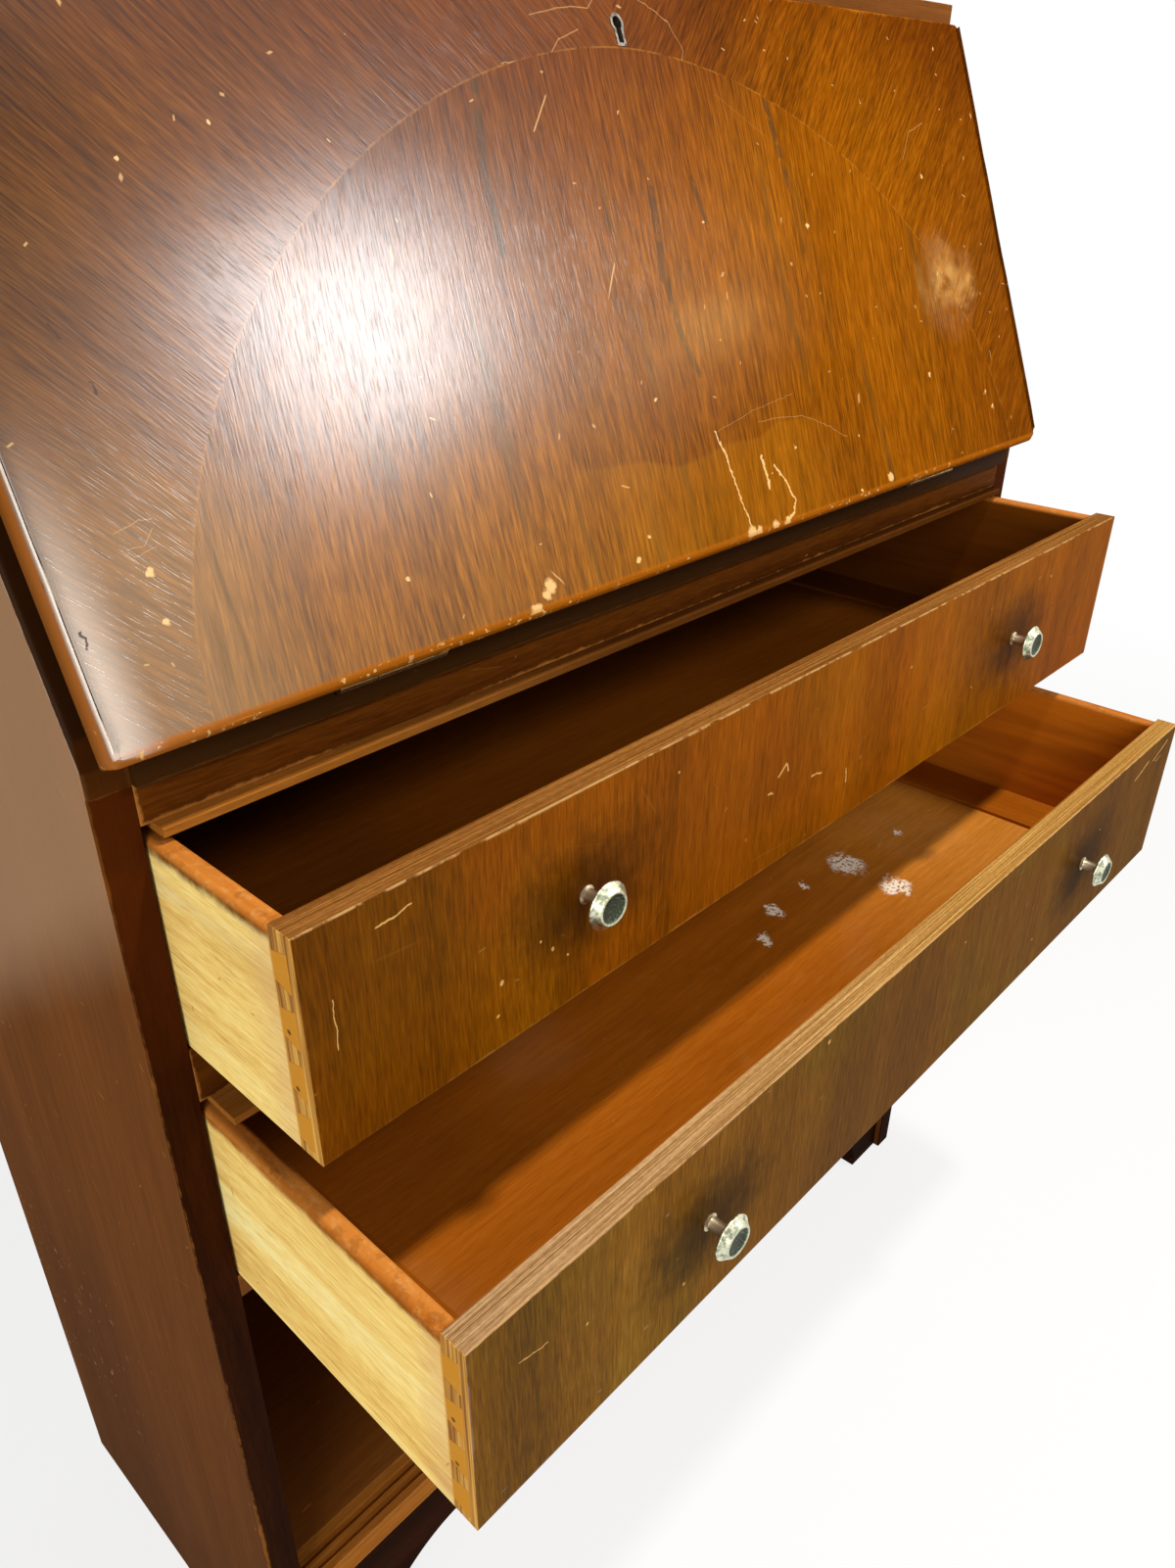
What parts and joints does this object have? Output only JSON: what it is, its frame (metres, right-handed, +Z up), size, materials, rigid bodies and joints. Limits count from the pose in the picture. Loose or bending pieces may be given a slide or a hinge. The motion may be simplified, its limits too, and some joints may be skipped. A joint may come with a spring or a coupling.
{
  "type": "drop-front bureau",
  "caption": "Walnut drop-front bureau: sloping hinged fall with folding stays and lock over a fitted desk, long drawers that slide, and a cupboard with sliding glass doors.",
  "frame": {"origin": "on the floor, under the middle of the bounding box of the bureau as stored, with its drawers part open", "axes": "+X to the right seen from the front, +Y from the front to the back, +Z up"},
  "size_m": [0.762, 0.5006, 1.052],
  "materials": {
    "walnut_polish": "semi-gloss polish",
    "walnut_veneer": "semi-gloss polish, figured",
    "dark_walnut": "dark stained",
    "raw_wood": "bare",
    "stained_ply": "thin red-brown stain",
    "brass": "dull",
    "steel": "dull",
    "knob_metal": "pale, tarnished",
    "door_glass": "clear with ground edges"
  },
  "bodies": {
    "case": {"left_side": "walnut_polish", "right_side": "walnut_polish", "top_board": "walnut_polish", "back_panel": "raw_wood", "back_screws": "steel", "stile_lippings": "dark_walnut", "desk_floor": "walnut_polish", "desk_rail": "walnut_polish", "pigeonhole_shelf": "walnut_polish", "pigeonhole_uprights": "walnut_polish", "upper_kicker": "raw_wood", "divider_rail": "walnut_polish", "drawer_runners": "raw_wood", "lower_kicker": "raw_wood", "drawer_stops": "raw_wood", "cupboard_top": "walnut_polish", "cupboard_floor": "walnut_polish", "door_rail": "walnut_polish", "plinth_front": "dark_walnut", "plinth_blocks": "raw_wood", "floor_hinge_leaves": "brass", "hinge_pins": "steel", "stay_side_plates": "brass", "case_screws": "brass", "lock_striker": "brass"},
    "fall": {"fall_panel": "walnut_polish", "veneer_arch": "walnut_veneer", "veneer_left": "walnut_veneer", "veneer_right": "walnut_veneer", "fall_hinge_leaves": "brass", "stay_fall_brackets": "brass", "fall_screws": "brass", "lock_case": "brass", "keyhole_liner": "steel"},
    "lock_bolt": {"lock_bolt": "brass"},
    "left_rear_arm": {"left_rear_arm": "brass"},
    "right_rear_arm": {"right_rear_arm": "brass"},
    "left_front_arm": {"left_front_arm": "brass"},
    "right_front_arm": {"right_front_arm": "brass"},
    "upper_drawer": {"upper_front": "walnut_polish", "upper_left_side": "raw_wood", "upper_right_side": "raw_wood", "upper_back": "raw_wood", "upper_bottom_panel": "stained_ply", "upper_slips": "stained_ply", "upper_knobs": "knob_metal", "upper_knob_screws": "steel"},
    "lower_drawer": {"lower_front": "walnut_polish", "lower_left_side": "raw_wood", "lower_right_side": "raw_wood", "lower_back": "raw_wood", "lower_bottom_panel": "stained_ply", "lower_slips": "stained_ply", "lower_knobs": "knob_metal", "lower_knob_screws": "steel"},
    "front_glass_door": {"front_glass_door": "door_glass"},
    "rear_glass_door": {"rear_glass_door": "door_glass"}
  },
  "joints": [
    {"name": "fall_hinge", "type": "hinge", "parent": "case", "child": "fall", "pos_m": [0, -0.05972, 0.758], "axis": [1, 0, 0], "range_deg": [0, 112.5]},
    {"name": "lock_bolt_slide", "type": "slide", "parent": "fall", "child": "lock_bolt", "axis": [0, 0.3827, 0.9239], "range_m": [0, 0.01]},
    {"name": "upper_drawer_slide", "type": "slide", "parent": "case", "child": "upper_drawer", "axis": [0, -1, 0], "range_m": [-0.098, 0.142]},
    {"name": "lower_drawer_slide", "type": "slide", "parent": "case", "child": "lower_drawer", "axis": [0, -1, 0], "range_m": [-0.178, 0.062]},
    {"name": "front_door_slide", "type": "slide", "parent": "case", "child": "front_glass_door", "axis": [-1, 0, 0], "range_m": [0, 0.357]},
    {"name": "rear_door_slide", "type": "slide", "parent": "case", "child": "rear_glass_door", "axis": [-1, 0, 0], "range_m": [0, 0.357]},
    {"name": "left_rear_arm_pivot", "type": "hinge", "parent": "case", "child": "left_rear_arm", "pos_m": [-0.359, 0.03876, 0.77536], "axis": [1, 0, 0], "range_deg": [0, 112.5]},
    {"name": "left_front_arm_pivot", "type": "hinge", "parent": "fall", "child": "left_front_arm", "pos_m": [-0.356, -0.01329, 0.84657], "axis": [1, 0, 0], "range_deg": [-112.5, 0]},
    {"name": "right_rear_arm_pivot", "type": "hinge", "parent": "case", "child": "right_rear_arm", "pos_m": [0.359, 0.03876, 0.77536], "axis": [1, 0, 0], "range_deg": [0, 112.5]},
    {"name": "right_front_arm_pivot", "type": "hinge", "parent": "fall", "child": "right_front_arm", "pos_m": [0.356, -0.01329, 0.84657], "axis": [1, 0, 0], "range_deg": [-112.5, 0]}
  ],
  "couplings": [
    {"joint": "left_rear_arm_pivot", "follows": "fall_hinge", "ratio": 1},
    {"joint": "left_front_arm_pivot", "follows": "fall_hinge", "ratio": -1},
    {"joint": "right_rear_arm_pivot", "follows": "fall_hinge", "ratio": 1},
    {"joint": "right_front_arm_pivot", "follows": "fall_hinge", "ratio": -1}
  ]
}
